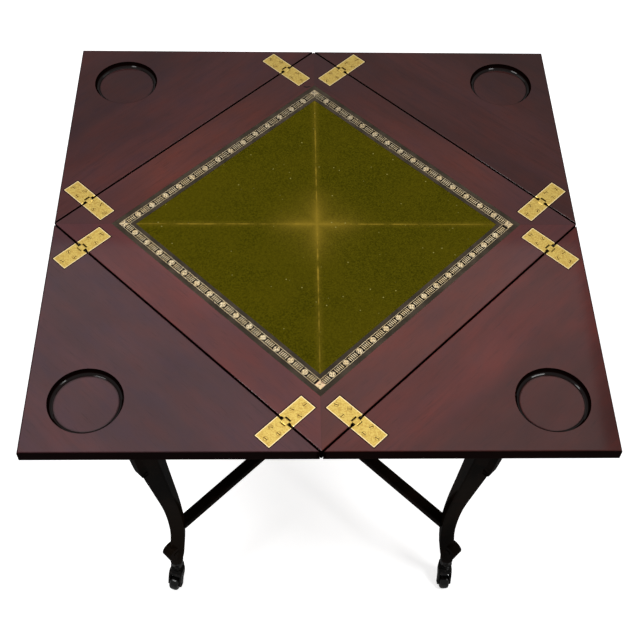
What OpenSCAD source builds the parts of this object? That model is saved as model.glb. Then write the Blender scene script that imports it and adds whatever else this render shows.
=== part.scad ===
// Envelope card table, with its top turned 45 degrees and its four flaps folded open.
// Origin on the floor under the top's pivot, front along -Y, millimetres.

/* [Top] */
// Height of the table's top surface above the floor
table_h = 730; // [650:5:800]
// Side of the closed top
top_side = 560; // [520:5:640]
// Thickness of the flaps and the centre panel
top_t = 20; // [16:0.5:24]
// Gap between the centre panel and an open flap
flap_gap = 2.5; // [2.4:0.1:3]
// Radius of the top edges on both sides of the gap
gap_edge_r = 1.25; // [1.2:0.05:1.4]
// Radius of a flap's outer edges
outer_edge_r = 2; // [0.5:0.25:4]
// Amount by which a flap stops short of the middle when it is shut
flap_short = 0.5; // [0.3:0.1:2]
// Width of the mitred border round the centre panel
border_w = 60; // [52:1:90]
// Width of the tooled leather band
leather_w = 26; // [12:1:40]
// Thickness of the leather and of the baize
inlay_t = 1; // [0.5:0.1:2]
// How far the leather and the baize lie below the border
inlay_drop = 0.2; // [0.1:0.1:1]
// Length of the tongue round the core board
tongue_l = 8; // [4:1:15]
// Thickness of the tongue
tongue_t = 6; // [4:0.5:9]

/* [Counter wells] */
// Diameter of a counter well at its mouth
well_d = 103; // [80:1:115]
// Depth of a counter well
well_depth = 9; // [5:0.5:11]
// Radius of the hollow between a well's floor and its wall
well_cove_r = 8.5; // [4:0.5:12]
// Distance of a well's middle from the flap's hinge edge
well_from_hinge = 165; // [150:1:175]

/* [Hinges] */
// Distance of each hinge from the middle of its side
hinge_offset = 214; // [120:1:216]
// Length of a leaf
leaf_l = 42.5; // [38:0.5:48]
// Width of a leaf
leaf_w = 27; // [22:0.5:30]
// Thickness of a leaf's plate
leaf_t = 2.5; // [2:0.1:3.5]
// Depth of the pins below the top surface
pin_depth = 2.65; // [2.6:0.05:2.7]
// Distance between the two pins of a hinge
pin_spacing = 5.6; // [5.5:0.05:5.8]
// Diameter of a pin
pin_d = 2; // [1.5:0.1:2.2]
// Radial clearance of a pin in a link
pin_clear = 0.05; // [0.02:0.01:0.1]
// Width of a link
link_w = 9.5; // [7:0.5:12]
// Radius of a link's round ends
link_r = 2.55; // [2.3:0.05:2.6]
// Clearance on each side of a link
link_side_clear = 0.15; // [0.1:0.05:0.4]
// Clearance past the end of a link
link_end_clear = 1.05; // [0.5:0.05:1.5]
// Distance of a leaf's pair of screws from its hinge edge
screw_pair_at = 18.5; // [12:0.5:24]
// Distance between the screws of the pair
screw_pair_apart = 14.8; // [10:0.2:17]
// Distance of a leaf's third screw from its hinge edge
screw_third_at = 36; // [30:0.5:38]
// Diameter of a screw's head
screw_head_d = 6.6; // [5:0.1:7]
// Diameter of a screw's neck
screw_neck_d = 3.2; // [2.5:0.1:4]

/* [Pivot] */
// Diameter of the pivot plate
pivot_plate_d = 110; // [90:1:140]
// Diameter of the spindle
spindle_d = 16; // [10:1:20]
// Radial clearance of the spindle in its bearer
spindle_clear = 0.05; // [0.02:0.01:0.1]
// Width of the pivot bearer
bearer_w = 80; // [60:1:120]
// Thickness of the pivot bearer
bearer_t = 22; // [18:0.5:26]
// Distance of the bearer below the top edge of the frame
bearer_drop = 3; // [2:0.5:5]
// Height of the pivot nut
nut_h = 7; // [5:0.5:8]
// Width of the pivot nut across its corners
nut_d = 28; // [22:1:36]
// Angle through which the top turns
turn_angle = 45; // [45:1:45]
// Distance of the stop peg from the pivot
stop_radius = 38; // [30:1:42]
// Diameter of the stop peg
stop_d = 6; // [4:0.5:8]
// Depth of the stop peg in the bearer
stop_depth = 12; // [8:1:16]
// Gap between the frame and what turns over it
turn_clear = 0.3; // [0.2:0.05:0.6]

/* [Frame] */
// Overhang of the closed top past the frame
top_overhang = 10; // [4:1:20]
// Side of a leg's block
block_side = 40; // [36:1:50]
// Height of the frieze
frieze_h = 90; // [84:1:100]
// Thickness of the frieze rails
frieze_t = 20; // [16:0.5:24]
// Set back of the rails from the leg blocks
rail_set_back = 2; // [0:0.5:4]
// Thickness of the tenons
tenon_t = 8; // [6:0.5:10]
// Length of the tenons
tenon_l = 14; // [10:0.5:16]
// Height of the drawer rail above the drawer
upper_rail_h = 25; // [24:0.5:30]
// Height of the drawer rail below the drawer
lower_rail_h = 16; // [12:0.5:20]
// Depth of the lower drawer rail from front to back
lower_rail_depth = 30; // [24:1:38]
// Depth of the housings for the bearer and the stretchers
housing = 8; // [4:0.5:10]

/* [Stretchers] */
// Height of the stretchers' middle above the floor
stretcher_z = 194; // [150:1:260]
// Width of a stretcher
stretcher_w = 20; // [14:0.5:24]
// Height of a stretcher
stretcher_h = 14; // [10:0.5:20]
// Bevel along a stretcher's upper edges
stretcher_bevel = 1.5; // [0.5:0.25:3]

/* [Legs] */
// Height of the castor under a leg
castor_h = 59; // [55:0.5:70]
// Height of the leg's block from the top of the frame down to the knee
block_h = 105; // [100:1:130]
// Number of sections along a leg's curve
leg_rings = 26; // [18:1:32]
// Radius of the scroll toe
toe_r = 16; // [10:0.5:18]
// Width of the scroll toe
toe_w = 20; // [14:0.5:24]
// Reach of the scroll toe, measured along the diagonal from the foot's middle
toe_reach = 20; // [16:0.5:26]
// Height of the scroll toe's middle above the floor
toe_z = 125; // [118:1:138]
// Width of the strip carved along the knee's corner
knee_w = 17.5; // [12:0.5:22]
// Height of the strip's lower end above the floor
knee_z = 448; // [430:1:490]
// Radius of the scroll at the strip's lower end
knee_r = 9; // [5:0.5:11]
// Amount by which the strip stands out past the knee's corner
knee_relief = 2; // [0.2:0.1:3]

/* [Castors] */
// Diameter of a wheel
wheel_d = 29; // [24:0.5:30]
// Width of a wheel
wheel_w = 18; // [14:0.5:20]
// Radius of a wheel's rounded edges
wheel_edge_r = 5.5; // [2:0.25:6.5]
// Distance of the wheel's axle from the swivel axis
castor_trail = 17; // [12:0.5:20]
// Diameter of a socket at its rings
socket_d = 25; // [22:0.5:28]
// Height of a socket's ringed part
socket_h = 10; // [8:0.5:14]
// Height of the cup that holds the leg's foot
cup_h = 22; // [14:1:26]
// Diameter of the cup
cup_d = 23; // [22:0.5:25]
// Thickness of the cup's wall
cup_wall = 1.5; // [1:0.25:2.5]
// Diameter of the stem on which a fork swivels
stem_d = 6; // [5:0.25:8]
// Diameter of a wheel's axle
axle_d = 4; // [3:0.25:5]
// Radial clearance of the stem and the axle
castor_clear = 0.05; // [0.02:0.01:0.1]
// Gap between a wheel and each arm of its fork
wheel_side_clear = 0.6; // [0.4:0.1:1]
// Thickness of a fork's arms
arm_t = 3; // [2:0.1:4]
// Thickness of a fork's crown
crown_t = 6; // [4:0.25:7]
// Turn of the front left castor, away from the front
front_left_turn = -20; // [-90:1:90]

/* [Drawer] */
// Depth of the drawer from front to back
drawer_depth = 470; // [300:5:480]
// Thickness of the drawer's front
drawer_front_t = 18; // [14:0.5:22]
// Thickness of the drawer's sides and back
drawer_side_t = 9; // [7:0.5:12]
// Height of the drawer's sides
drawer_side_h = 36; // [28:0.5:38]
// Thickness of the drawer's bottom
drawer_bottom_t = 5; // [4:0.5:6]
// Height of the bottom above the lower edge of the sides
drawer_bottom_z = 5; // [3:0.5:8]
// Depth of the grooves that hold the bottom
drawer_groove = 4; // [2:0.5:5]
// Lap of the front over the ends of the sides
drawer_lap = 6; // [4:0.5:8]
// Gap round the drawer's front
drawer_clear = 0.5; // [0.3:0.1:1.5]
// Width of a drawer runner
runner_w = 36; // [28:1:44]
// Diameter of a drawer knob
knob_d = 18; // [12:1:24]
// Distance by which a knob stands out
knob_l = 16; // [12:1:20]
// Distance between the knobs
knob_apart = 220; // [120:5:300]

/* [Hidden] */
SIDES = ["front_left", "front_right", "back_right", "back_left"];
CORNERS = ["back_right", "back_left", "front_left", "front_right"];
CASTOR_TURNS = [0, 0, front_left_turn, 0];

$fn = 48;
eps = 0.01;
half_side = top_side / 2;
flap_rise = half_side - flap_short;
pin_inset = (pin_spacing - flap_gap) / 2;
knuckle_depth = 2 * pin_depth;
link_slot_l = pin_inset + link_r + link_end_clear;
knuckle_l = link_slot_l + 1;
link_pocket_depth = pin_depth + link_r + 0.5;
hinge_edge_under_r = 1;
inlay_half = half_side - border_w;
inlay_depth = inlay_t + inlay_drop;
core_t = top_t - inlay_depth;
tongue_z = table_h - top_t + (core_t - tongue_t) / 2;

frame_half = half_side - top_overhang;
block_half = frame_half - block_side;
top_under_z = table_h - top_t;
frame_top_z = top_under_z - turn_clear;
frieze_z = frame_top_z - frieze_h;
rail_outer = frame_half - rail_set_back;
rail_inner = rail_outer - frieze_t;
rail_middle = (rail_outer + rail_inner) / 2;
tenon_shoulder = 6;
bearer_top_z = frame_top_z - bearer_drop;
bearer_z = bearer_top_z - bearer_t;
pivot_plate_t = bearer_drop + turn_clear;
opening_z = frieze_z + lower_rail_h;
opening_h = frieze_h - lower_rail_h - upper_rail_h;

leg_h = frame_top_z - block_h - castor_h;
// Share of the height from foot to knee, then the outer and inner faces from the block's own faces,
// then the radius of the corners
LEG_PROFILE = [
    [0, -9, 10, 6],
    [0.05, -9, 9.5, 5],
    [0.1, -10, 3.8, 3],
    [0.18, -15, -0.4, 2.5],
    [0.26, -17.6, -2.2, 2.5],
    [0.4, -14.7, -0.2, 2.5],
    [0.56, -4.7, 5.1, 2.5],
    [0.7, 4.6, 9.8, 2.5],
    [0.83, 10.7, 13.5, 2.5],
    [0.92, 11.1, 8.2, 2.5],
    [1, 0, 0, 1.5]
];
corner_steps = 3;
foot_centre = frame_half - block_side / 2 + (LEG_PROFILE[0][1] + LEG_PROFILE[0][2]) / 2;
diagonal = sqrt(2);

socket_bead_h = 2.2;
socket_waist = 1;
spigot_r = cup_d / 2 - cup_wall;
foot_z = castor_h + cup_h;
fork_top_z = castor_h - socket_h - turn_clear;
crown_z = fork_top_z - crown_t;
wheel_r = wheel_d / 2;
arm_inner = wheel_w / 2 + wheel_side_clear;
arm_outer = arm_inner + arm_t;
boss_r = 6.5;
stem_head_t = 1.2;
stem_head_r = stem_d / 2 + 1.5;
axle_head_t = 1;

drawer_z = opening_z + turn_clear;
drawer_front_h = opening_h - 2 * drawer_clear;
drawer_front_w = 2 * block_half - 2 * drawer_clear;
drawer_half = drawer_front_w / 2 - drawer_clear;
drawer_y = -rail_outer;
drawer_back_y = drawer_y + drawer_depth;
knob_z = drawer_z + drawer_front_h / 2;

mahogany = [0.33, 0.14, 0.12];
black_wood = [0.07, 0.05, 0.05];
pine = [0.66, 0.5, 0.33];
brass = [0.93, 0.76, 0.36];
iron = [0.2, 0.2, 0.21];
leather = [0.2, 0.2, 0.18];
green_baize = [0.32, 0.3, 0.05];

// Points along an arc, both ends included
function arc(centre, r, from, to, steps = 6) =
    [for (i = [0:steps]) let (a = from + (to - from) * i / steps) centre + r * [cos(a), sin(a)]];

// Outline of a board's edge: the edge at x = 0, the top face at y = 0
function board_edge(depth, upper_r, under_r) = concat(
    arc([upper_r, -upper_r], upper_r, 90, 180),
    arc([under_r, under_r - top_t], under_r, 180, 270),
    [[depth, -top_t], [depth, 0]]
);

// Smooth curve through column k of the rows, whose column 0 rises
function slope(rows, k, i) =
    let (a = max(i - 1, 0), b = min(i + 1, len(rows) - 1))
    (rows[b][k] - rows[a][k]) / (rows[b][0] - rows[a][0]);
function segment(rows, x, i = 0) =
    i + 2 >= len(rows) || x < rows[i + 1][0] ? i : segment(rows, x, i + 1);
function smooth(rows, k, x) =
    let (
        i = segment(rows, x),
        w = rows[i + 1][0] - rows[i][0],
        t = (x - rows[i][0]) / w
    )
    (2 * t ^ 3 - 3 * t ^ 2 + 1) * rows[i][k] + (t ^ 3 - 2 * t ^ 2 + t) * w * slope(rows, k, i)
    + (3 * t ^ 2 - 2 * t ^ 3) * rows[i + 1][k] + (t ^ 3 - t ^ 2) * w * slope(rows, k, i + 1);

function leg_outer(z) = frame_half + smooth(LEG_PROFILE, 1, (z - castor_h) / leg_h);
function leg_inner(z) = block_half + smooth(LEG_PROFILE, 2, (z - castor_h) / leg_h);

// Section of a leg on the diagonal of the frame, square with rounded corners
function leg_section(outer, inner, r, z) = [
    for (corner = [[outer, outer, 0], [inner, outer, 90], [inner, inner, 180], [outer, inner, 270]])
        let (
            cx = corner[0] + (corner[0] == outer ? -r : r),
            cy = corner[1] + (corner[1] == outer ? -r : r)
        )
        for (p = arc([cx, cy], r, corner[2], corner[2] + 90, corner_steps)) [p[0], p[1], z]
];

// Solid through rings of equally many points, listed from the bottom up
module loft(rings) {
    n = len(rings[0]);
    last = len(rings) - 1;
    polyhedron(
        points = [for (ring = rings) each ring],
        faces = concat(
            [[for (i = [0:n - 1]) i]],
            [for (k = [0:last - 1], i = [0:n - 1])
                let (j = (i + 1) % n) [k * n + i, (k + 1) * n + i, (k + 1) * n + j, k * n + j]],
            [[for (i = [0:n - 1]) last * n + n - 1 - i]]
        )
    );
}

// Outline in X and Z, drawn out along Y about the middle
module across(length) {
    rotate([90, 0, 0]) linear_extrude(length, center = true) children();
}

// Frame of a side of the open top: +X points out of the panel, the top surface is z = 0
module at_side(i) {
    rotate([0, 0, 225 + 90 * i]) translate([0, 0, table_h]) children();
}

// Frame of a corner of the underframe, with the corner at +X +Y
module at_corner(i) {
    rotate([0, 0, 90 * i]) children();
}

// Frame in which the diagonal towards a corner is the X axis
module on_diagonal() {
    rotate([0, 0, 45]) children();
}

module both_hinges() {
    for (s = [-1, 1]) translate([0, s * hinge_offset, 0]) children();
}

// A leaf from its hinge edge at x = 0 inwards along +X, the top surface at z = 0
module hinge_leaf() {
    difference() {
        across(leaf_w) difference() {
            polygon(concat(
                arc([pin_inset, -pin_inset], pin_inset, 90, 180),
                arc([pin_inset, pin_inset - knuckle_depth], pin_inset, 180, 270),
                [[knuckle_l, -knuckle_depth], [knuckle_l, -leaf_t], [leaf_l, -leaf_t], [leaf_l, 0]]
            ));
            translate([pin_inset, -pin_depth]) circle(d = pin_d);
        }
        translate([-1, -link_w / 2 - link_side_clear, -knuckle_depth - 1])
            cube([link_slot_l + 1, link_w + 2 * link_side_clear, knuckle_depth + 2]);
        screw_hole(screw_pair_at, -screw_pair_apart / 2);
        screw_hole(screw_pair_at, screw_pair_apart / 2);
        screw_hole(screw_third_at, 0);
    }
}

module screw_hole(x, y) {
    translate([x, y, -leaf_t - 1]) cylinder(d = screw_neck_d, h = leaf_t + 2, $fn = 24);
    translate([x, y, -leaf_t]) cylinder(d1 = screw_neck_d, d2 = screw_head_d, h = leaf_t, $fn = 24);
}

// What is cut from the wood for a leaf and its link
module leaf_recess() {
    translate([-1, -leaf_w / 2, -leaf_t]) cube([leaf_l + 1, leaf_w, leaf_t + 1]);
    translate([-1, -leaf_w / 2, -knuckle_depth]) cube([knuckle_l + 1, leaf_w, knuckle_depth + 1]);
    translate([-1, -link_w / 2 - link_side_clear, -link_pocket_depth])
        cube([link_slot_l + 1, link_w + 2 * link_side_clear, link_pocket_depth + 1]);
}

module hinge_pin() {
    translate([pin_inset, 0, -pin_depth]) rotate([90, 0, 0])
        cylinder(d = pin_d, h = leaf_w - 0.4, center = true, $fn = 24);
}

// Link of one hinge, open, with its pin holes at x = 0 and x = pin_spacing
module hinge_link() {
    across(link_w) difference() {
        polygon(concat(
            arc([0, 0], link_r, 90, 270, 10),
            arc([pin_spacing, 0], link_r, -90, 90, 10)
        ));
        circle(d = pin_d + 2 * pin_clear);
        translate([pin_spacing, 0]) circle(d = pin_d + 2 * pin_clear);
    }
}

module panel_hinge_leaves() {
    color(brass) for (i = [0:3]) at_side(i) both_hinges()
        translate([half_side, 0, 0]) rotate([0, 0, 180]) hinge_leaf();
}

module panel_hinge_pins() {
    color(brass) for (i = [0:3]) at_side(i) both_hinges()
        translate([half_side, 0, 0]) rotate([0, 0, 180]) hinge_pin();
}

module hinge_links(i) {
    color(brass) at_side(i) both_hinges()
        translate([half_side - pin_inset, 0, -pin_depth]) hinge_link();
}

module flap_hinge_leaves(i) {
    color(brass) at_side(i) translate([half_side + flap_gap, 0, 0]) both_hinges() hinge_leaf();
}

module flap_hinge_pins(i) {
    color(brass) at_side(i) translate([half_side + flap_gap, 0, 0]) both_hinges() hinge_pin();
}

// Triangular board from its hinge edge at x = 0 to its corner on the X axis
module flap_blank() {
    length = 2 * top_side;
    intersection() {
        across(length) polygon(board_edge(top_side, gap_edge_r, hinge_edge_under_r));
        within_outer_edges() across(length)
            polygon(board_edge(top_side, outer_edge_r, outer_edge_r));
    }
}

module within_outer_edges() {
    intersection() {
        translate([flap_rise, 0, 0]) rotate([0, 0, 135]) children();
        translate([flap_rise, 0, 0]) rotate([0, 0, 225]) children();
    }
}

// Turned hollow for counters, open at z = 0
module counter_well() {
    rise = max(0, well_cove_r - well_depth);
    wall_reach = sqrt(well_cove_r ^ 2 - rise ^ 2);
    rotate_extrude($fn = 96) polygon(concat(
        [[0, 1], [0, -well_depth]],
        arc([well_d / 2 - wall_reach, well_cove_r - well_depth], well_cove_r,
            270, 360 - asin(rise / well_cove_r), 8),
        [[well_d / 2, 1]]
    ));
}

module flap_board(i) {
    color(mahogany) at_side(i) translate([half_side + flap_gap, 0, 0]) difference() {
        flap_blank();
        translate([well_from_hinge, 0, 0]) counter_well();
        both_hinges() leaf_recess();
    }
}

module panel_border(i) {
    inner = inlay_half;
    color(mahogany) at_side(i) difference() {
        intersection() {
            translate([half_side, 0, 0]) rotate([0, 0, 180]) across(2 * top_side)
                polygon(board_edge(top_side, gap_edge_r, hinge_edge_under_r));
            translate([0, 0, -top_t]) linear_extrude(top_t)
                polygon([
                    [inner, -inner], [half_side, -half_side],
                    [half_side, half_side], [inner, inner]
                ]);
        }
        translate([inner - 1, -half_side, tongue_z - table_h]) cube([tongue_l + 1, top_side, tongue_t]);
        both_hinges() translate([half_side, 0, 0]) rotate([0, 0, 180]) leaf_recess();
    }
}

module panel_core() {
    size = 2 * inlay_half;
    tongued = size + 2 * tongue_l;
    color(mahogany) rotate([0, 0, 45]) {
        translate([-size / 2, -size / 2, top_under_z]) cube([size, size, core_t]);
        translate([-tongued / 2, -tongued / 2, tongue_z]) cube([tongued, tongued, tongue_t]);
    }
}

module leather_band() {
    outer = 2 * inlay_half;
    color(leather) rotate([0, 0, 45]) translate([0, 0, table_h - inlay_depth]) linear_extrude(inlay_t)
        difference() {
            square(outer, center = true);
            square(outer - 2 * leather_w, center = true);
        }
}

module baize() {
    size = 2 * (inlay_half - leather_w);
    color(green_baize) rotate([0, 0, 45]) translate([-size / 2, -size / 2, table_h - inlay_depth])
        cube([size, size, inlay_t]);
}

// Plate under the core board, with the spindle and the slot that the stop peg runs in
module pivot_plate() {
    slot_w = stop_d + 2 * turn_clear;
    color(iron) {
        translate([0, 0, bearer_top_z]) linear_extrude(pivot_plate_t) difference() {
            circle(d = pivot_plate_d, $fn = 72);
            polygon(concat(
                arc([0, 0], stop_radius + slot_w / 2, -90 - turn_angle, -90, 12),
                arc([0, 0], stop_radius - slot_w / 2, -90, -90 - turn_angle, 12)
            ));
            for (a = [-90 - turn_angle, -90]) rotate(a) translate([stop_radius, 0]) circle(d = slot_w);
        }
        translate([0, 0, bearer_z - turn_clear - nut_h])
            cylinder(d = spindle_d, h = bearer_t + turn_clear + nut_h + eps);
    }
}

module pivot_nut() {
    color(iron) translate([0, 0, bearer_z - turn_clear - nut_h]) difference() {
        cylinder(d = nut_d, h = nut_h, $fn = 6);
        translate([0, 0, -1]) cylinder(d = spindle_d, h = nut_h + 2);
    }
}

module pivot_bearer() {
    length = 2 * (rail_inner + housing);
    color(pine) difference() {
        translate([-length / 2, -bearer_w / 2, bearer_z]) cube([length, bearer_w, bearer_t]);
        translate([0, 0, bearer_z - 1]) cylinder(d = spindle_d + 2 * spindle_clear, h = bearer_t + 2);
        translate([0, -stop_radius, bearer_top_z - stop_depth]) cylinder(d = stop_d, h = stop_depth + 1);
    }
}

module stop_peg() {
    color(iron) translate([0, -stop_radius, bearer_top_z - stop_depth])
        cylinder(d = stop_d, h = stop_depth + pivot_plate_t - 2 * turn_clear);
}

// Rail between two leg blocks, along X at the back of the frame, with its tenons
module tenoned_rail(z, h, depth = frieze_t) {
    length = 2 * block_half;
    translate([-length / 2, rail_outer - depth, z]) cube([length, depth, h]);
    translate([-length / 2 - tenon_l, rail_middle - tenon_t / 2, z + tenon_shoulder])
        cube([length + 2 * tenon_l, tenon_t, h - 2 * tenon_shoulder]);
}

module frieze(turn, housed) {
    color(mahogany) difference() {
        rotate([0, 0, turn]) tenoned_rail(frieze_z, frieze_h);
        if (housed) translate([-rail_inner - housing, -bearer_w / 2, bearer_z])
            cube([2 * (rail_inner + housing), bearer_w, bearer_t + bearer_drop + 1]);
    }
}

module drawer_rail_upper() {
    color(mahogany) rotate([0, 0, 180]) tenoned_rail(frame_top_z - upper_rail_h, upper_rail_h);
}

module drawer_rail_lower() {
    z_share = lower_rail_h / 4;
    length = 2 * block_half;
    color(mahogany) rotate([0, 0, 180]) {
        translate([-length / 2, rail_outer - lower_rail_depth, frieze_z])
            cube([length, lower_rail_depth, lower_rail_h]);
        translate([-length / 2 - tenon_l, rail_middle - tenon_t / 2, frieze_z + z_share])
            cube([length + 2 * tenon_l, tenon_t, lower_rail_h / 2]);
    }
}

// Mortises in the leg at +X +Y for a rail along X, then for a rail along Y
module mortise(z, h) {
    translate([block_half - 1, rail_middle - tenon_t / 2, z]) cube([tenon_l + 1, tenon_t, h]);
}

module frieze_mortise() {
    mortise(frieze_z + tenon_shoulder, frieze_h - 2 * tenon_shoulder);
}

module drawer_mortises() {
    mortise(frieze_z + lower_rail_h / 4, lower_rail_h / 2);
    mortise(frame_top_z - upper_rail_h + tenon_shoulder, upper_rail_h - 2 * tenon_shoulder);
}

module swap_xy() {
    mirror([1, -1, 0]) children();
}

// Square bar on the diagonal, before it is halved and cut to length
module stretcher_bar() {
    w = stretcher_w / 2;
    h = stretcher_h / 2;
    b = stretcher_bevel;
    reach = leg_inner(stretcher_z) * diagonal + housing;
    on_diagonal() translate([0, 0, stretcher_z]) rotate([90, 0, 90])
        linear_extrude(2 * reach, center = true)
            polygon([[-w, -h], [w, -h], [w, h - b], [w - b, h], [b - w, h], [-w, h - b]]);
}

module stretcher(turn, under) {
    color(black_wood) difference() {
        rotate([0, 0, turn]) stretcher_bar();
        rotate([0, 0, 45]) translate([-stretcher_w / 2, -stretcher_w / 2, stretcher_z])
            translate([0, 0, under ? 0 : -stretcher_h]) cube([stretcher_w, stretcher_w, stretcher_h]);
    }
}

// Scroll toe with its web, drawn in the diagonal plane: distance from the pivot axis, height
module toe() {
    r = foot_centre * diagonal;
    scroll = r + toe_reach - toe_r;
    on_diagonal() {
        across(toe_w) polygon(concat(
            arc([scroll, toe_z], toe_r, 120, -40, 12),
            [[r + 13, foot_z + 12], [r + 9, foot_z + 2], [r - 8, foot_z + 2], [r - 12, toe_z + 6]]
        ));
        translate([scroll, 0, toe_z]) scroll_eye(toe_r / 3, toe_w);
    }
}

// Round boss in the middle of a scroll, on both of its sides
module scroll_eye(r, width) {
    rotate([90, 0, 0]) cylinder(r = r, h = width + 2, center = true, $fn = 24);
}

// Strip along the knee's outer corner, ending in a scroll
module knee_strip() {
    low = knee_z + knee_r;
    high = frame_top_z - block_h;
    steps = 9;
    edge = [for (k = [0:steps]) let (z = high + (low - high) * k / steps)
        [(leg_outer(z) + knee_relief) * diagonal, z]];
    scroll = edge[steps][0] - knee_r;
    on_diagonal() {
        across(knee_w) polygon(concat(
            edge, arc([scroll, low], knee_r, 0, -90), [[scroll - knee_r, knee_z], [scroll - knee_r, high]]
        ));
        translate([scroll, 0, low]) scroll_eye(knee_r / 3, knee_w);
    }
}

module leg(i) {
    levels = [for (k = [0:leg_rings]) foot_z + (leg_h - cup_h) * k / leg_rings];
    rings = concat(
        [for (z = levels) leg_section(leg_outer(z), leg_inner(z),
            smooth(LEG_PROFILE, 3, (z - castor_h) / leg_h), z)],
        [leg_section(frame_half, block_half, LEG_PROFILE[len(LEG_PROFILE) - 1][3], frame_top_z)]
    );
    color(black_wood) at_corner(i) difference() {
        union() {
            loft(rings);
            toe();
            knee_strip();
            translate([foot_centre, foot_centre, castor_h]) cylinder(r = spigot_r, h = cup_h + 1);
        }
        if (CORNERS[i] == "front_left") drawer_mortises();
        else frieze_mortise();
        swap_xy() {
            if (CORNERS[i] == "front_right") drawer_mortises();
            else frieze_mortise();
        }
        stretcher_bar();
    }
}

// Cup for the foot above a turned part with two rings, and the stem with its riveted head
module castor_socket(i) {
    r = socket_d / 2;
    z = castor_h - socket_h;
    head_z = crown_z - turn_clear - stem_head_t;
    bead = socket_bead_h / 2;
    color(iron) at_corner(i) translate([foot_centre, foot_centre, 0]) rotate_extrude() polygon(concat(
        [[0, head_z], [stem_head_r, head_z], [stem_head_r, head_z + stem_head_t]],
        [[stem_d / 2, head_z + stem_head_t], [stem_d / 2, z]],
        arc([r - bead, z + bead], bead, -90, 90, 4),
        [[r - bead - socket_waist, z + socket_bead_h], [r - bead - socket_waist, castor_h - socket_bead_h]],
        arc([r - bead, castor_h - bead], bead, -90, 90, 4),
        [[cup_d / 2 - 0.8, castor_h + 0.5], [cup_d / 2, castor_h + cup_h / 2], [cup_d / 2 - 0.4, foot_z]],
        [[spigot_r, foot_z], [spigot_r, castor_h], [0, castor_h]]
    ));
}

module at_castor(i) {
    at_corner(i) translate([foot_centre, foot_centre, 0])
        rotate([0, 0, CASTOR_TURNS[i] - 90 * i]) children();
}

// Side view of a fork's arm: distance to the rear, height
module arm_outline() {
    polygon(concat(
        [[-9, fork_top_z], [-14, fork_top_z - 5], [-18, fork_top_z - 14]],
        arc([-castor_trail, wheel_r], boss_r, 180, 360, 10),
        [[-6, crown_z - 15], [0, crown_z - 8], [6, crown_z - 3], [9, crown_z], [9, fork_top_z]]
    ));
}

module crown_outline() {
    rim = fork_top_z - 2;
    polygon([
        [-9, fork_top_z], [-14, fork_top_z - 5], [-15.5, crown_z - 4], [-12, crown_z - 4], [-8, crown_z],
        [arm_outer, crown_z], [arm_outer, rim], [arm_outer - 3, fork_top_z]
    ]);
}

// Plan of a fork, round in front and straight behind
module fork_plan() {
    back = castor_trail + 2 * boss_r;
    polygon(concat(arc([0, 0], arm_outer, 0, 180, 12), [[-arm_outer, -back], [arm_outer, -back]]));
}

module castor_fork(i) {
    color(iron) at_castor(i) {
        difference() {
            intersection() {
                linear_extrude(castor_h) fork_plan();
                union() {
                    rotate([90, 0, 90]) linear_extrude(2 * arm_outer, center = true) crown_outline();
                    for (s = [-1, 1]) translate([s * (arm_inner + arm_t / 2), 0, 0]) rotate([90, 0, 90])
                        linear_extrude(arm_t, center = true) arm_outline();
                }
            }
            cylinder(d = stem_d + 2 * castor_clear, h = castor_h);
        }
        translate([0, -castor_trail, wheel_r]) rotate([0, 90, 0])
            cylinder(d = axle_d, h = 2 * (arm_outer + axle_head_t), center = true);
    }
}

module castor_wheel(i) {
    w = wheel_w / 2;
    e = wheel_edge_r;
    bore = axle_d / 2 + castor_clear;
    color(black_wood) at_castor(i) translate([0, -castor_trail, wheel_r]) rotate([0, 90, 0])
        rotate_extrude() polygon(concat(
            [[bore, -w], [wheel_r - e, -w]],
            arc([wheel_r - e, e - w], e, 270, 360, 4),
            arc([wheel_r - e, w - e], e, 0, 90, 4),
            [[bore, w]]
        ));
}

// Runners against the side friezes, notched round the leg blocks
module drawer_runners() {
    front = rail_outer - lower_rail_depth;
    w = runner_w / 2;
    color(pine) for (s = [-1, 1]) difference() {
        translate([s * (rail_inner - w) - w, -front, frieze_z])
            cube([runner_w, front + rail_inner, lower_rail_h]);
        for (y = [-1, 1]) translate([s * frame_half, y * frame_half, frieze_z + lower_rail_h / 2])
            cube([2 * block_side, 2 * block_side, 2 * lower_rail_h], center = true);
    }
}

module drawer_front() {
    color(mahogany) difference() {
        translate([-drawer_front_w / 2, drawer_y, drawer_z])
            cube([drawer_front_w, drawer_front_t, drawer_front_h]);
        for (s = [-1, 1]) translate([s * (drawer_half - drawer_side_t) - (s < 0 ? block_side : 0), 0, 0])
            translate([0, drawer_y + drawer_lap, drawer_z - 1])
                cube([block_side, drawer_front_t, drawer_side_h + 1]);
        drawer_bottom_space();
        at_knobs() cylinder(d = knob_d / 3, h = drawer_front_t, center = true);
    }
}

// The bottom and the grooves that it lies in
module drawer_bottom_space() {
    w = drawer_half - drawer_side_t + drawer_groove;
    y = drawer_y + drawer_front_t - drawer_groove;
    translate([-w, y, drawer_z + drawer_bottom_z]) cube([2 * w, drawer_back_y - y, drawer_bottom_t]);
}

module drawer_side(s) {
    y = drawer_y + drawer_lap;
    color(pine) difference() {
        translate([s > 0 ? drawer_half - drawer_side_t : -drawer_half, y, drawer_z])
            cube([drawer_side_t, drawer_back_y - y, drawer_side_h]);
        drawer_bottom_space();
    }
}

module drawer_back() {
    w = drawer_half - drawer_side_t;
    z = drawer_z + drawer_bottom_z + drawer_bottom_t;
    color(pine) translate([-w, drawer_back_y - drawer_side_t, z])
        cube([2 * w, drawer_side_t, drawer_side_h - drawer_bottom_z - drawer_bottom_t]);
}

module drawer_bottom() {
    color(pine) drawer_bottom_space();
}

module at_knobs() {
    for (s = [-1, 1]) translate([s * knob_apart / 2, drawer_y, knob_z]) rotate([90, 0, 0]) children();
}

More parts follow.
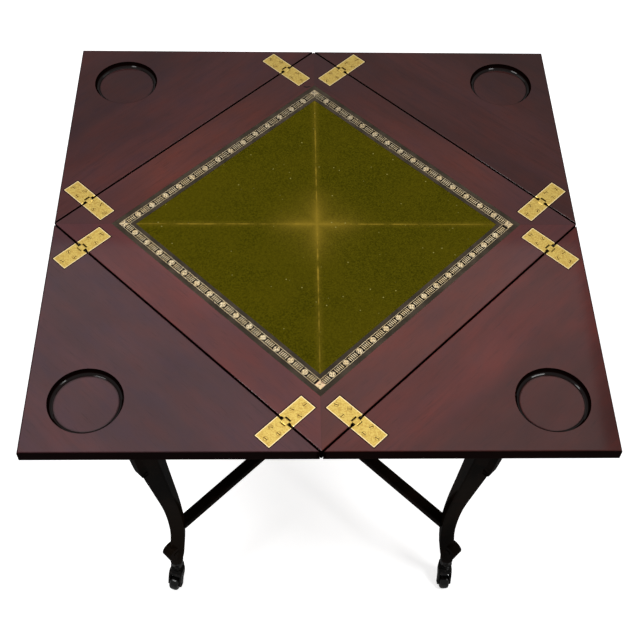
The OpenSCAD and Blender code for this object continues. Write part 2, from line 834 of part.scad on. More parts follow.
module drawer_knobs() {
    r = knob_d / 2;
    color(brass) at_knobs() rotate_extrude($fn = 32) polygon(concat(
        [[0, -drawer_front_t / 2], [knob_d / 6, -drawer_front_t / 2], [knob_d / 6, 0], [r * 0.8, 0]],
        [[r * 0.8, 1.5], [r * 0.4, 3], [r * 0.4, knob_l - 0.8 * r]],
        arc([r * 0.4, knob_l - 0.5 * r], r * 0.5, -40, 90, 6),
        [[0, knob_l]]
    ));
}

for (i = [0:3]) {
    leg(i);
    castor_socket(i);
    castor_fork(i);
    castor_wheel(i);
    panel_border(i);
    hinge_links(i);
    flap_board(i);
    flap_hinge_leaves(i);
    flap_hinge_pins(i);
}
frieze(0, false);  // frieze_back
frieze(90, true);  // frieze_left
frieze(270, true);  // frieze_right
drawer_rail_upper();
drawer_rail_lower();
pivot_bearer();
stop_peg();
stretcher(0, true);  // stretcher_under
stretcher(90, false);  // stretcher_over
drawer_runners();
panel_core();
leather_band();
baize();
pivot_plate();
pivot_nut();
panel_hinge_leaves();
panel_hinge_pins();
drawer_front();
drawer_side(-1);  // drawer_side_left
drawer_side(1);  // drawer_side_right
drawer_back();
drawer_bottom();
drawer_knobs();
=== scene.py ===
"""Envelope card table with its top turned and its four flaps open.

Metres throughout, origin on the floor under the pivot of the top, front along -Y.
"""
import math
import random
from functools import reduce

import bmesh
import bpy
from mathutils import Matrix, Vector


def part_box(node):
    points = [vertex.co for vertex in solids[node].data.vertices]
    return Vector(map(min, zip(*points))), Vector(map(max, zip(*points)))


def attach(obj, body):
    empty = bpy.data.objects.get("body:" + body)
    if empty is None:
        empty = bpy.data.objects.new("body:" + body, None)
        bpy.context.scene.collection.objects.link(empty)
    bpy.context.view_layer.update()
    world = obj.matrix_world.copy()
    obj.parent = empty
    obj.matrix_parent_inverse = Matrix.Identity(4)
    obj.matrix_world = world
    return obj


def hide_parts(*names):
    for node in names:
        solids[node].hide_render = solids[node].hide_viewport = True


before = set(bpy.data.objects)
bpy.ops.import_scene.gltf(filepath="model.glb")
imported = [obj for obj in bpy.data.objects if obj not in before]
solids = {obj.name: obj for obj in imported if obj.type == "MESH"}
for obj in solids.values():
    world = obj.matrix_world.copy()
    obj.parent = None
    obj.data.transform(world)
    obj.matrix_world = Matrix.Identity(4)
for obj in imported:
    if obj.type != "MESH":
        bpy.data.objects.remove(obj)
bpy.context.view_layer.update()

# Sizes that the dressing shares with the solids

MM = 0.001
SIDES = {"front_left": 225, "front_right": 315, "back_right": 45, "back_left": 135}
CORNERS = ("back_right", "back_left", "front_left", "front_right")

TOP_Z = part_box("panel_border_front_left")[1].z
UNDER_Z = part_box("flap_board_front_left")[0].z
PANEL_HALF = 280 * MM
FLAP_EDGE = 282.5 * MM
GAP_MIDDLE = (PANEL_HALF + FLAP_EDGE) / 2
OPEN_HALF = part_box("flap_board_front_left")[0].x * -1

HINGE_OFFSET = 214 * MM
LEAF_LENGTH = 42.5 * MM
LEAF_WIDTH = 27 * MM
LINK_WIDTH = 9.5 * MM
SCREW_PAIR_AT = 18.5 * MM
SCREW_PAIR_APART = 14.8 * MM
SCREW_THIRD_AT = 36 * MM
SCREW_HEAD = 6.3 * MM
SCREW_SUNK = 0.08 * MM

WELL_CENTRE = (FLAP_EDGE + 165 * MM) / math.sqrt(2)
WELL_RADIUS = 51.5 * MM
WELL_FOOT = WELL_RADIUS - 8.5 * MM

FOOT = 250.5 * MM
CUP_RADIUS = 11.4 * MM
CUP_SCREW_Z = 69 * MM

KNEE_SCROLL = Vector((384.5, 0, 457)) * MM
KNEE_SCROLL_RADIUS = 9 * MM
KNEE_HALF_WIDTH = 8.75 * MM

LEATHER_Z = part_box("leather_band")[1].z
LEATHER_INNER = 194 * MM
CLOTH_LOW, CLOTH_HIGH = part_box("baize")[0].z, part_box("baize")[1].z

# Sizes of what only the dressing has

NOTCH_LENGTH = 5 * MM
NOTCH_HALF_WIDTH = 2.9 * MM

HOOK_CENTRE = (-12.5 * MM, 312 * MM, TOP_Z)
HOOK_RADIUS = 5.5 * MM

GILT_OUTER_LINE = 211.7 * MM
GILT_INNER_LINE = 200.8 * MM
GILT_MIDDLE = (GILT_OUTER_LINE + GILT_INNER_LINE) / 2
GILT_PITCH = 27.55 * MM
GILT_THICKNESS = 0.12 * MM
GILT_SUNK = 0.02 * MM

CLOTH_ROLL = 2.5 * MM
CLOTH_DROP = 0.35 * MM
CLOTH_UNEVEN = 0.06 * MM

FLOOR_HALF = 12


def colour(red, green, blue):
    """Linear colour of a screen colour given from 0 to 255."""
    def linear(value):
        value /= 255
        return value / 12.92 if value <= 0.04045 else ((value + 0.055) / 1.055) ** 2.4
    return (linear(red), linear(green), linear(blue), 1.0)


# Node trees

class Wiring:
    """Adds nodes to one tree, and sets or links their inputs as they are made."""

    tree_kind = "ShaderNodeTree"

    def __init__(self, tree):
        self.tree = tree

    def add(self, kind, inputs=None, **settings):
        node = self.tree.nodes.new(kind)
        for name, value in settings.items():
            setattr(node, name, value)
        for key, value in (inputs or {}).items():
            self.join(value, node.inputs[key])
        return node

    def join(self, value, socket):
        if isinstance(value, bpy.types.NodeSocket):
            self.tree.links.new(value, socket)
        else:
            socket.default_value = value

    def math(self, operation, *values):
        node = self.add("ShaderNodeMath", dict(enumerate(values)), operation=operation)
        return node.outputs[0]

    def chain(self, operation, values):
        """One operation carried from the first value through all the others."""
        return reduce(lambda first, second: self.math(operation, first, second), values)

    def times(self, *values):
        return self.chain("MULTIPLY", values)

    def plus(self, *values):
        return self.chain("ADD", values)

    def highest(self, *values):
        return self.chain("MAXIMUM", values)

    def lowest(self, *values):
        return self.chain("MINIMUM", values)

    def minus(self, first, second):
        return self.math("SUBTRACT", first, second)

    def over(self, first, second):
        return self.math("DIVIDE", first, second)

    def away(self, value, middle=0.0):
        """Distance of a value from a middle."""
        return self.math("ABSOLUTE", self.minus(value, middle))

    def xyz(self, x=0.0, y=0.0, z=0.0):
        return self.add("ShaderNodeCombineXYZ", {"X": x, "Y": y, "Z": z}).outputs[0]

    def vector(self, operation, first, second=(0, 0, 0)):
        node = self.add("ShaderNodeVectorMath", {0: first, 1: second}, operation=operation)
        return node.outputs["Vector"]

    def length(self, vector):
        node = self.add("ShaderNodeVectorMath", {0: vector}, operation="LENGTH")
        return node.outputs["Value"]

    def ramp(self, value, low, high, from_value=0.0, to_value=1.0):
        """Smooth step of a value between two limits."""
        node = self.add("ShaderNodeMapRange", {
            "Value": value, "From Min": low, "From Max": high,
            "To Min": from_value, "To Max": to_value,
        }, interpolation_type="SMOOTHSTEP")
        return node.outputs["Result"]

    def mix(self, factor, first, second, blend="MIX"):
        node = self.add("ShaderNodeMix", data_type="RGBA", blend_type=blend)
        for number, value in ((0, factor), (6, first), (7, second)):
            self.join(value, node.inputs[number])
        return node.outputs[2]

    def noise(self, coordinate, scale, detail=2.0, roughness=0.5, distortion=0.0):
        node = self.add("ShaderNodeTexNoise", {
            "Vector": coordinate, "Scale": scale, "Detail": detail,
            "Roughness": roughness, "Distortion": distortion,
        })
        return node.outputs["Fac"]

    def cells(self, coordinate, scale):
        """Distance to the nearest of scattered points."""
        node = self.add("ShaderNodeTexVoronoi", {"Vector": coordinate, "Scale": scale},
                        feature="F1")
        return node.outputs["Distance"]


def group_tree(name, wiring, inputs, outputs):
    """Node tree with named sockets, given as (name, socket type, default)."""
    tree = bpy.data.node_groups.new(name, wiring.tree_kind)
    for direction, sockets in (("INPUT", inputs), ("OUTPUT", outputs)):
        for label, socket_type, default in sockets:
            socket = tree.interface.new_socket(label, in_out=direction, socket_type=socket_type)
            if default is not None:
                socket.default_value = default
    w = wiring(tree)
    return tree, w, w.add("NodeGroupInput").outputs, w.add("NodeGroupOutput").inputs


FLOAT, VECTOR = "NodeSocketFloat", "NodeSocketVector"


def make_wood_figure():
    """Figure, streaks and open pores of wood whose grain runs along X."""
    tree, w, given, result = group_tree(
        "wood figure", Wiring,
        [("Coordinate", VECTOR, None), ("Figure Scale", FLOAT, 7.0), ("Pore Scale", FLOAT, 900.0)],
        [("Figure", FLOAT, None), ("Streak", FLOAT, None), ("Pores", FLOAT, None)],
    )
    place = given["Coordinate"]
    drift = w.noise(place, 3.0, 1.0)
    bent = w.vector("ADD", place, w.xyz(y=w.times(drift, 0.03)))
    broad, fine, thin = [w.vector("MULTIPLY", bent, (stretch, 1.0, 1.0))
                         for stretch in (0.3, 0.05, 0.035)]
    pores = w.noise(thin, given["Pore Scale"], 1.0)
    w.join(w.noise(broad, given["Figure Scale"], 3.0, 0.55), result["Figure"])
    w.join(w.noise(fine, 130.0, 3.0, 0.6), result["Streak"])
    w.join(w.ramp(pores, 0.62, 0.72), result["Pores"])
    return tree


def make_hand_polish():
    """Uneven gloss and faint ripples of a surface rubbed by hand."""
    tree, w, given, result = group_tree(
        "hand polish", Wiring,
        [("Coordinate", VECTOR, None), ("Gloss", FLOAT, 0.25), ("Variation", FLOAT, 0.08)],
        [("Roughness", FLOAT, None), ("Height", FLOAT, None)],
    )
    place = given["Coordinate"]
    smear = w.noise(place, 11.0, 4.0, 0.6, 0.4)
    spread = w.times(w.minus(smear, 0.5), given["Variation"])
    w.join(w.plus(given["Gloss"], spread), result["Roughness"])
    w.join(w.noise(place, 60.0, 2.0), result["Height"])
    return tree


def make_rubbing():
    """Mask of places where a finish has rubbed away, 1 where it is gone."""
    tree, w, given, result = group_tree(
        "rubbing", Wiring,
        [("Coordinate", VECTOR, None), ("Scale", FLOAT, 80.0), ("Amount", FLOAT, 0.3)],
        [("Mask", FLOAT, None)],
    )
    coarse = w.noise(given["Coordinate"], given["Scale"], 5.0, 0.65)
    edge = w.minus(0.75, w.times(given["Amount"], 0.5))
    w.join(w.ramp(coarse, edge, w.plus(edge, 0.12)), result["Mask"])
    return tree


wood_figure = make_wood_figure()
hand_polish = make_hand_polish()
rubbing = make_rubbing()


class Finish(Wiring):
    """A material under construction, with its Principled shader and object coordinates."""

    def __init__(self, name, **sockets):
        self.material = bpy.data.materials.new(name)
        self.material.use_nodes = True
        super().__init__(self.material.node_tree)
        self.shader = self.tree.nodes["Principled BSDF"]
        self.place = self.add("ShaderNodeTexCoord").outputs["Object"]
        for label, value in sockets.items():
            self.shader.inputs[label.replace("_", " ")].default_value = value

    def turned(self, angle, shift=(0, 0, 0), tilt=(0, 0)):
        """Object coordinates turned so that a direction in the piece becomes X."""
        node = self.add("ShaderNodeMapping", {
            "Vector": self.place, "Location": shift,
            "Rotation": (math.radians(tilt[0]), math.radians(tilt[1]), math.radians(-angle)),
        })
        return node.outputs[0]

    def group(self, tree, **inputs):
        node = self.add("ShaderNodeGroup", node_tree=tree)
        for label, value in inputs.items():
            self.join(value, node.inputs[label.replace("_", " ")])
        return node.outputs

    def parts(self):
        """X, Y and Z of the object coordinates."""
        return self.add("ShaderNodeSeparateXYZ", {0: self.place}).outputs[:]

    def paint(self, base, roughness, metallic=None, coat=None, height=None, depth=0.1 * MM):
        values = {"Base Color": base, "Roughness": roughness, "Metallic": metallic,
                  "Coat Weight": coat}
        for label, value in values.items():
            if value is not None:
                self.join(value, self.shader.inputs[label])
        if height is not None:
            bump = self.add("ShaderNodeBump", {"Height": height, "Distance": depth})
            self.join(bump.outputs[0], self.shader.inputs["Normal"])
        return self.material


# Wood finishes

POLISHED = {"IOR": 1.45, "Specular_IOR_Level": 0.0, "Coat_IOR": 1.5, "Coat_Roughness": 0.07}
# Dark stain of the mitre line and the hook mark, and painted shade in the gaps, notches and wells,
# on the edge faces and towards the back
STAIN_AND_SHADE = colour(12, 4, 3)
PORE = colour(26, 10, 10)
BLUISH_CORNER = colour(64, 42, 48)
COOL_TINT, WARM_TINT = (0.9, 0.98, 1.12, 1.0), (1.12, 0.98, 0.9, 1.0)
WELL_RING_SHINE = 0.22


def mahogany(name, angle, shift, light, dark, on_top=False, outward=0.0):
    """Polished mahogany with its grain along an angle in the top's plane.

    On the top it has the dark marks there, much of them painted shade, and its tip darkens by the
    amount called outward.
    """
    f = Finish(name, **POLISHED)
    grain = f.turned(angle, shift)
    figure = f.group(wood_figure, Coordinate=grain, Figure_Scale=9.0)
    polish = f.group(hand_polish, Coordinate=f.place, Gloss=0.3, Variation=0.1)
    base = f.mix(f.ramp(figure["Figure"], 0.3, 0.7), dark, light)
    base = f.mix(f.times(f.ramp(figure["Streak"], 0.45, 0.75), 0.5), base, dark)
    base = f.mix(f.times(figure["Pores"], 0.35), base, PORE)
    base = hue_patches(f, base, f.vector("MULTIPLY", grain, (0.45, 1.0, 1.0)))
    shine = polish["Roughness"]
    if on_top:
        base, dull, ring = top_shading(f, base, outward)
        shine = f.plus(f.times(shine, f.minus(1.0, dull)), f.times(ring, WELL_RING_SHINE))
    height = f.minus(f.times(polish["Height"], 0.5), f.times(figure["Pores"], 0.15))
    return f.paint(base, polish["Roughness"], coat=shine, height=height, depth=0.06 * MM)


def hue_patches(f, base, place):
    """Tints a wood in soft patches, cooler in some and warmer in others."""
    drift = f.noise(place, 34.0, 4.0, 0.62)
    base = f.mix(f.ramp(drift, 0.5, 0.66), base, COOL_TINT, "MULTIPLY")
    return f.mix(f.ramp(drift, 0.5, 0.34), base, WARM_TINT, "MULTIPLY")


def across_and_along(f):
    """Distances in the open top: out from the middle square to a side, and along that side."""
    turned = f.add("ShaderNodeSeparateXYZ", {0: f.vector("ABSOLUTE", f.turned(45))})
    u, v = turned.outputs[0], turned.outputs[1]
    return f.highest(u, v), f.lowest(u, v)


def beyond_leaf(f, across, along):
    """Distance outside the outline of the nearest hinge leaf, below 0 within it."""
    reach = GAP_MIDDLE - PANEL_HALF + LEAF_LENGTH
    return f.highest(f.minus(f.away(along, HINGE_OFFSET), LEAF_WIDTH / 2),
                     f.minus(f.away(across, GAP_MIDDLE), reach))


def hinge_notch_shade(f, across, along):
    """Mask of painted shade, standing for openings in the gap on both sides of each hinge link."""
    soft = 0.6 * MM
    near, far = LINK_WIDTH / 2, LINK_WIDTH / 2 + NOTCH_LENGTH
    from_link = f.away(along, HINGE_OFFSET)
    return f.times(f.ramp(from_link, near, near + soft / 2), f.ramp(from_link, far, far - soft),
                   f.ramp(f.away(across, GAP_MIDDLE), NOTCH_HALF_WIDTH, NOTCH_HALF_WIDTH - soft))


def seams_and_shade(f, from_middle, z, across, along):
    """Mask of the dark edges, the gaps, the joints round the hinges and their notches: a dark worn
    rim on the top, and painted shade on the edge faces below it, in the gaps and notches, and
    partly along the joints.
    """
    # Painted shade on the faces below the top, at the edges and in the gaps
    below = f.ramp(z, TOP_Z - 0.15 * MM, TOP_Z - 0.7 * MM)
    rim = f.ramp(from_middle, OPEN_HALF - 2.6 * MM, OPEN_HALF - 1 * MM)
    edge = f.times(rim, f.plus(0.5, f.times(below, 0.46)))
    from_gap = f.away(across, GAP_MIDDLE)
    gap = f.highest(f.times(f.ramp(from_gap, 6 * MM, 4 * MM), below),
                    f.ramp(from_gap, 1.9 * MM, 1.4 * MM))
    # Dark joint round each hinge leaf, partly painted shade along it
    joint = f.times(f.ramp(beyond_leaf(f, across, along), 1.9 * MM, 1.1 * MM), 0.85)
    return f.highest(edge, gap, joint, hinge_notch_shade(f, across, along))


def well_masks(f, away_x, away_y, top_side):
    """Masks of the painted shade on the wells' walls, of what is unpolished there, and of a
    polished ring.
    """
    from_centre = f.length(f.xyz(f.minus(away_x, WELL_CENTRE), f.minus(away_y, WELL_CENTRE)))

    def from_foot(low, high):
        return f.ramp(from_centre, WELL_FOOT + low * MM, WELL_FOOT + high * MM)

    inside = f.times(f.ramp(from_centre, WELL_RADIUS + 0.6 * MM, WELL_RADIUS), top_side)
    # The walls are the same wood; their darkness is painted shade and painted dark reflection
    wall_shade, unpolished = from_foot(-1.5, 2.8), from_foot(0.8, 2.2)
    ring = f.times(from_foot(1.8, 3.2), from_foot(6.6, 5.4))
    return [f.times(inside, mask) for mask in (wall_shade, unpolished, ring)]


def hook_mark(f, y):
    """Mask of the small hooked mark beside the back corner of the leather."""
    from_centre = f.length(f.vector("SUBTRACT", f.place, HOOK_CENTRE))
    circle = f.ramp(f.away(from_centre, HOOK_RADIUS), 2.2 * MM, 1.3 * MM)
    front_part = f.ramp(y, HOOK_CENTRE[1] - 1.5 * MM, HOOK_CENTRE[1] - 3.5 * MM)
    return f.times(circle, front_part)


def top_shading(f, base, outward):
    """Darkens edges, gaps, joints, corners and the walls of the wells in the open top, with
    painted shade in the gaps, notches and wells, on the edge faces and towards the back.

    Gives the colour, the mask of what has no polish, and that of the wells' polished ring.
    The undersides of the flaps, which are uppermost in the shut top, stay without marks.
    """
    x, y, z = f.parts()
    away_x, away_y = f.away(x), f.away(y)
    across, along = across_and_along(f)
    on_panel = f.ramp(across, PANEL_HALF, PANEL_HALF - 1 * MM)
    top_side = f.ramp(z, UNDER_Z + 0.1 * MM, UNDER_Z + 0.5 * MM)

    seam_and_shade = f.times(seams_and_shade(f, f.highest(away_x, away_y), z, across, along), top_side)
    wall_shade, unpolished, ring = well_masks(f, away_x, away_y, top_side)
    mitre = f.times(f.ramp(f.lowest(away_x, away_y), 0.7 * MM, 0.2 * MM), on_panel, 0.2)
    hook = f.times(hook_mark(f, y), top_side, 0.9)
    # Painted shade: the panel darkens towards the back, where less light falls
    to_back = f.times(f.ramp(y, 100 * MM, 300 * MM), on_panel, 0.4)
    to_tip = f.times(f.ramp(across, 330 * MM, 520 * MM), outward)
    corner = f.times(f.ramp(f.highest(away_x, y), 230 * MM, 370 * MM), on_panel, 0.55)

    base = f.mix(corner, base, BLUISH_CORNER)
    # Dark stain at the mitre and hook mark, darkening to the flaps' tips, and painted shade at the
    # seams, in the wells and towards the back
    base = f.mix(f.highest(seam_and_shade, wall_shade, mitre, hook, to_back, to_tip), base, STAIN_AND_SHADE)
    return base, f.highest(seam_and_shade, unpolished), ring


def blackened(name, angle, tilt):
    """Dark stained and polished wood, a little brown where it is worn."""
    f = Finish(name, **POLISHED)
    grain = f.turned(angle, tilt=tilt)
    figure = f.group(wood_figure, Coordinate=grain, Figure_Scale=14.0)
    polish = f.group(hand_polish, Coordinate=f.place, Gloss=0.34, Variation=0.12)
    worn = f.group(rubbing, Coordinate=f.place, Scale=25.0, Amount=0.5)
    base = f.mix(f.ramp(figure["Figure"], 0.35, 0.65), colour(10, 7, 5), colour(26, 19, 13))
    base = f.mix(f.times(worn["Mask"], 0.35), base, colour(34, 20, 15))
    height = f.plus(polish["Height"], f.times(figure["Streak"], 0.4))
    return f.paint(base, polish["Roughness"], coat=f.times(polish["Roughness"], 0.05),
                   height=height)


def pale_wood():
    """Unpolished secondary wood of the hidden pieces."""
    f = Finish("pale wood", IOR=1.45)
    figure = f.group(wood_figure, Coordinate=f.turned(0), Figure_Scale=10.0, Pore_Scale=600.0)
    base = f.mix(f.ramp(figure["Figure"], 0.3, 0.7), colour(150, 118, 84), colour(184, 152, 112))
    base = f.mix(f.times(f.ramp(figure["Streak"], 0.45, 0.7), 0.5), base, colour(128, 94, 62))
    return f.paint(base, 0.72, height=figure["Streak"], depth=0.2 * MM)


# Metal finishes

LACQUERED = {"IOR": 1.5, "Specular_IOR_Level": 0.0, "Coat_IOR": 1.5}


def brass(name, tone, grime=0.5, rim=False):
    """Yellow brass with a fine cast grain and darker spots, and on the leaves a lighter rim and
    painted shade beside the links.
    """
    f = Finish(name, Metallic=1.0)
    polish = f.group(hand_polish, Coordinate=f.place, Gloss=0.36, Variation=0.15)
    spots = f.group(rubbing, Coordinate=f.place, Scale=420.0, Amount=grime)
    speck = f.noise(f.place, 1400.0, 2.0, 0.7)
    base = f.mix(f.ramp(speck, 0.35, 0.65), tone, colour(186, 164, 94))
    base = f.mix(f.times(spots["Mask"], 0.5), base, colour(136, 100, 40))
    if rim:
        across, along = across_and_along(f)
        bright = f.ramp(beyond_leaf(f, across, along), -1.3 * MM, -0.7 * MM)
        base = f.mix(f.times(bright, 0.75), base, colour(222, 200, 158))
        # Painted shade of the openings beside the links
        base = f.mix(hinge_notch_shade(f, across, along), base, colour(16, 9, 4))
    height = f.plus(f.times(polish["Height"], 0.3), speck)
    return f.paint(base, polish["Roughness"], height=height, depth=0.05 * MM)


def grime():
    """Dark brown fill in the slots and round the heads of screws."""
    f = Finish("grime", Specular_IOR_Level=0.0)
    base = f.mix(f.noise(f.place, 900.0, 2.0), colour(26, 15, 5), colour(64, 45, 15))
    return f.paint(base, 0.9)


def dark_iron():
    """Lacquered iron, dark with a soft gloss."""
    f = Finish("dark iron", Coat_Roughness=0.08, **LACQUERED)
    polish = f.group(hand_polish, Coordinate=f.place, Gloss=0.3, Variation=0.2)
    worn = f.group(rubbing, Coordinate=f.place, Scale=160.0, Amount=0.45)
    base = f.mix(worn["Mask"], colour(12, 11, 10), colour(38, 34, 30))
    return f.paint(base, polish["Roughness"], f.times(worn["Mask"], 0.15),
                   coat=f.times(polish["Roughness"], 0.3),
                   height=f.noise(f.place, 500.0, 3.0), depth=0.05 * MM)


def wheel_finish():
    """Near black turned hardwood of the castor wheels."""
    f = Finish("castor wheel", Coat_Roughness=0.06, **LACQUERED)
    polish = f.group(hand_polish, Coordinate=f.place, Gloss=0.2, Variation=0.15)
    worn = f.group(rubbing, Coordinate=f.place, Scale=220.0, Amount=0.35)
    base = f.mix(worn["Mask"], colour(13, 12, 11), colour(40, 34, 29))
    return f.paint(base, polish["Roughness"], coat=f.times(polish["Roughness"], 1.3),
                   height=polish["Height"])


# Leather, gilding and baize

def leather_finish():
    """Dark slate leather with a pebbled grain, darkest between the gilt lines."""
    f = Finish("tooled leather", IOR=1.45, Specular_IOR_Level=0.0)
    pebbles = f.cells(f.place, 900.0)
    soft = f.noise(f.place, 40.0, 3.0)
    base = f.mix(f.ramp(soft, 0.3, 0.7), colour(60, 54, 45), colour(82, 72, 61))
    base = f.mix(f.times(pebbles, 0.4), base, colour(30, 26, 22))
    from_gilt = f.away(across_and_along(f)[0], GILT_MIDDLE)
    to_line = GILT_OUTER_LINE - GILT_MIDDLE
    tooled = f.times(f.ramp(from_gilt, to_line + 0.5 * MM, to_line), 0.9)
    base = f.mix(tooled, base, colour(18, 14, 11))
    return f.paint(base, 0.55, height=pebbles, depth=0.08 * MM)


def gilding(name, gold, bare, amount):
    """Stamped gold leaf, duller to the back, rubbed through to the leather in places."""
    f = Finish(name)
    worn = f.group(rubbing, Coordinate=f.place, Scale=260.0, Amount=amount)["Mask"]
    tint = f.noise(f.place, 90.0, 2.0)
    base = f.mix(f.ramp(tint, 0.35, 0.65), gold, colour(200, 176, 132))
    to_back = f.ramp(f.parts()[1], 0.0, 260 * MM)
    base = f.mix(f.times(to_back, 0.4), base, colour(104, 96, 80))
    base = f.mix(f.times(worn, 0.85), base, bare)
    return f.paint(base, 0.42, f.times(f.minus(1.0, worn), 0.6), height=worn, depth=0.03 * MM)


def baize_finish():
    """Olive baize with its nap, lint, and pale lines worn along both diagonals."""
    f = Finish("olive baize", Specular_IOR_Level=0.0)
    x, y, _ = f.parts()
    nap = f.noise(f.place, 420.0, 4.0, 0.7)
    cloud = f.noise(f.place, 9.0, 3.0)
    base = f.mix(f.ramp(nap, 0.3, 0.7), colour(51, 48, 3), colour(84, 77, 9))
    base = f.mix(f.times(f.ramp(cloud, 0.35, 0.7), 0.45), base, colour(82, 73, 8))

    wander = f.times(f.minus(f.noise(f.place, 16.0, 2.0), 0.5), 2.5 * MM)
    from_line = f.plus(f.lowest(f.away(x), f.away(y)), wander)
    from_centre = f.length(f.xyz(x, y))
    line = f.times(f.ramp(from_line, 1.9 * MM, 0.3 * MM),
                   f.ramp(f.noise(f.place, 60.0, 3.0), 0.3, 0.65, 0.15, 1.0),
                   f.ramp(from_centre, 60 * MM, 300 * MM, 0.85, 0.42))
    halo = f.times(f.ramp(from_centre, 100 * MM, 5 * MM),
                   f.over(2.2 * MM, f.plus(from_line, 7 * MM)), 2.3)
    beam = f.times(f.ramp(from_line, 9 * MM, 1 * MM), 0.1)
    worn = f.lowest(f.highest(line, halo, beam), 0.9)
    base = f.mix(worn, base, colour(152, 126, 40))

    fleck = f.ramp(f.cells(f.place, 95.0), 0.13, 0.06)
    chosen = f.ramp(f.noise(f.place, 31.0, 1.0), 0.5, 0.62)
    base = f.mix(f.times(fleck, chosen, 0.6), base, colour(176, 166, 92))
    return f.paint(base, 0.95, height=nap, depth=0.6 * MM)


# Light and dark of a side's border, light and dark of its flap, and the flap's outward darkening
# The back sides' tones are darker than the front's: partly the boards' own tone, partly painted
# shade of the light falling off towards the back
BOARDS = {
    "front_left": ((103, 49, 47), (85, 39, 38), (82, 45, 49), (64, 37, 41), 0.0),
    "front_right": ((99, 46, 40), (80, 37, 32), (93, 38, 34), (69, 28, 25), 0.4),
    "back_right": ((86, 45, 41), (69, 36, 32), (70, 35, 33), (52, 26, 25), 0.45),
    "back_left": ((96, 49, 43), (78, 39, 34), (76, 39, 38), (58, 30, 31), 0.3),
}
side_finishes = {}
for number, (side, direction) in enumerate(SIDES.items()):
    *tones, outward = BOARDS[side]
    border_light, border_dark, flap_light, flap_dark = [colour(*tone) for tone in tones]
    side_finishes[side] = (
        mahogany(f"mahogany border {side}", direction + 90, (0.37 * number, 0.21, 0.0),
                 border_light, border_dark, True),
        mahogany(f"mahogany flap {side}", direction + 90, (0.83 * number, 0.64, 0.1),
                 flap_light, flap_dark, True, outward),
    )
frame_mahogany = mahogany("mahogany frame", 0, (0.11, 0.42, 0.05), colour(92, 45, 40),
                          colour(74, 36, 32))
leg_black = blackened("blackened legs", 0, (0, 90))
bar_black = blackened("blackened stretchers", 45, (0, 0))
pale = pale_wood()
leaf_brass = brass("hinge brass", colour(162, 136, 62), 0.58, True)
plain_brass = brass("plain brass", colour(176, 144, 70), 0.6)
screw_fill_dark = grime()
iron = dark_iron()
wheel_black = wheel_finish()
leather = leather_finish()
gold_leaf = gilding("gold leaf", colour(208, 190, 154), colour(66, 56, 44), 0.4)
rose_gold = gilding("corner gold leaf", colour(206, 158, 132), colour(70, 56, 48), 0.35)
worn_gold = gilding("worn corner gold leaf", colour(150, 128, 98), colour(60, 50, 40), 0.6)
baize_green = baize_finish()


def dress(material, *names):
    """Gives solids their finish."""
    for name in names:
        solid = solids[name]
        solid.data.materials.clear()
        solid.data.materials.append(material)


for side, (border_finish, flap_finish) in side_finishes.items():
    dress(border_finish, f"panel_border_{side}")
    dress(flap_finish, f"flap_board_{side}")
    dress(leaf_brass, f"hinge_links_{side}", f"flap_hinge_leaves_{side}")
    dress(plain_brass, f"flap_hinge_pins_{side}")
for corner in CORNERS:
    dress(leg_black, f"leg_{corner}")
    dress(iron, f"castor_socket_{corner}", f"castor_fork_{corner}")
    dress(wheel_black, f"castor_wheel_{corner}")
dress(leaf_brass, "panel_hinge_leaves")
dress(plain_brass, "panel_hinge_pins", "drawer_knobs")
dress(leather, "leather_band")
dress(bar_black, "stretcher_under", "stretcher_over")
dress(iron, "pivot_plate", "pivot_nut", "stop_peg")
dress(frame_mahogany, "panel_core", "frieze_back", "frieze_left", "frieze_right",
      "drawer_rail_upper", "drawer_rail_lower", "drawer_front")
dress(pale, "pivot_bearer", "drawer_runners", "drawer_side_left", "drawer_side_right",
      "drawer_back", "drawer_bottom")


# Geometry trees

GEOMETRY, INTEGER, MATERIAL = "NodeSocketGeometry", "NodeSocketInt", "NodeSocketMaterial"


class Shaping(Wiring):
    """Adds the nodes of one geometry tree."""

    tree_kind = "GeometryNodeTree"

    def made(self, kind, inputs=None, **settings):
        """First output of a new geometry node."""
        return self.add("GeometryNode" + kind, inputs, **settings).outputs[0]

    def half(self, value):
        return self.over(value, 2.0)

    def box(self, x, y, z):
        return self.made("MeshCube", {"Size": self.xyz(x, y, z)})

    def circle(self, resolution, radius):
        return self.made("CurvePrimitiveCircle", {"Resolution": resolution, "Radius": radius})

    def rectangle(self, width, height):
        return self.made("CurvePrimitiveQuadrilateral", {"Width": width, "Height": height})

    def swept(self, path, section):
        return self.made("CurveToMesh", {"Curve": path, "Profile Curve": section})

    def points(self, count, start=(0, 0, 0), offset=(0, 0, 0)):
        return self.made("MeshLine", {"Count": count, "Start Location": start, "Offset": offset},
                         mode="OFFSET")

    def row(self, count, pitch):
        """Points along X about the middle."""
        span = self.times(self.minus(count, 1.0), pitch)
        return self.points(count, self.xyz(self.times(self.half(span), -1.0)), self.xyz(pitch))

    def placed(self, points, part, **fields):
        return self.made("InstanceOnPoints", {"Points": points, "Instance": part, **fields})

    def moved(self, part, translation=(0, 0, 0), rotation=(0, 0, 0)):
        return self.made("Transform", {
            "Geometry": part, "Translation": translation, "Rotation": rotation})

    def joined(self, *parts):
        node = self.add("GeometryNodeJoinGeometry")
        for part in parts:
            self.join(part, node.inputs[0])
        return node.outputs[0]

    def coated(self, part, finish):
        return self.made("SetMaterial", {"Geometry": part, "Material": finish})

    def realized(self, part):
        return self.made("RealizeInstances", {0: part})


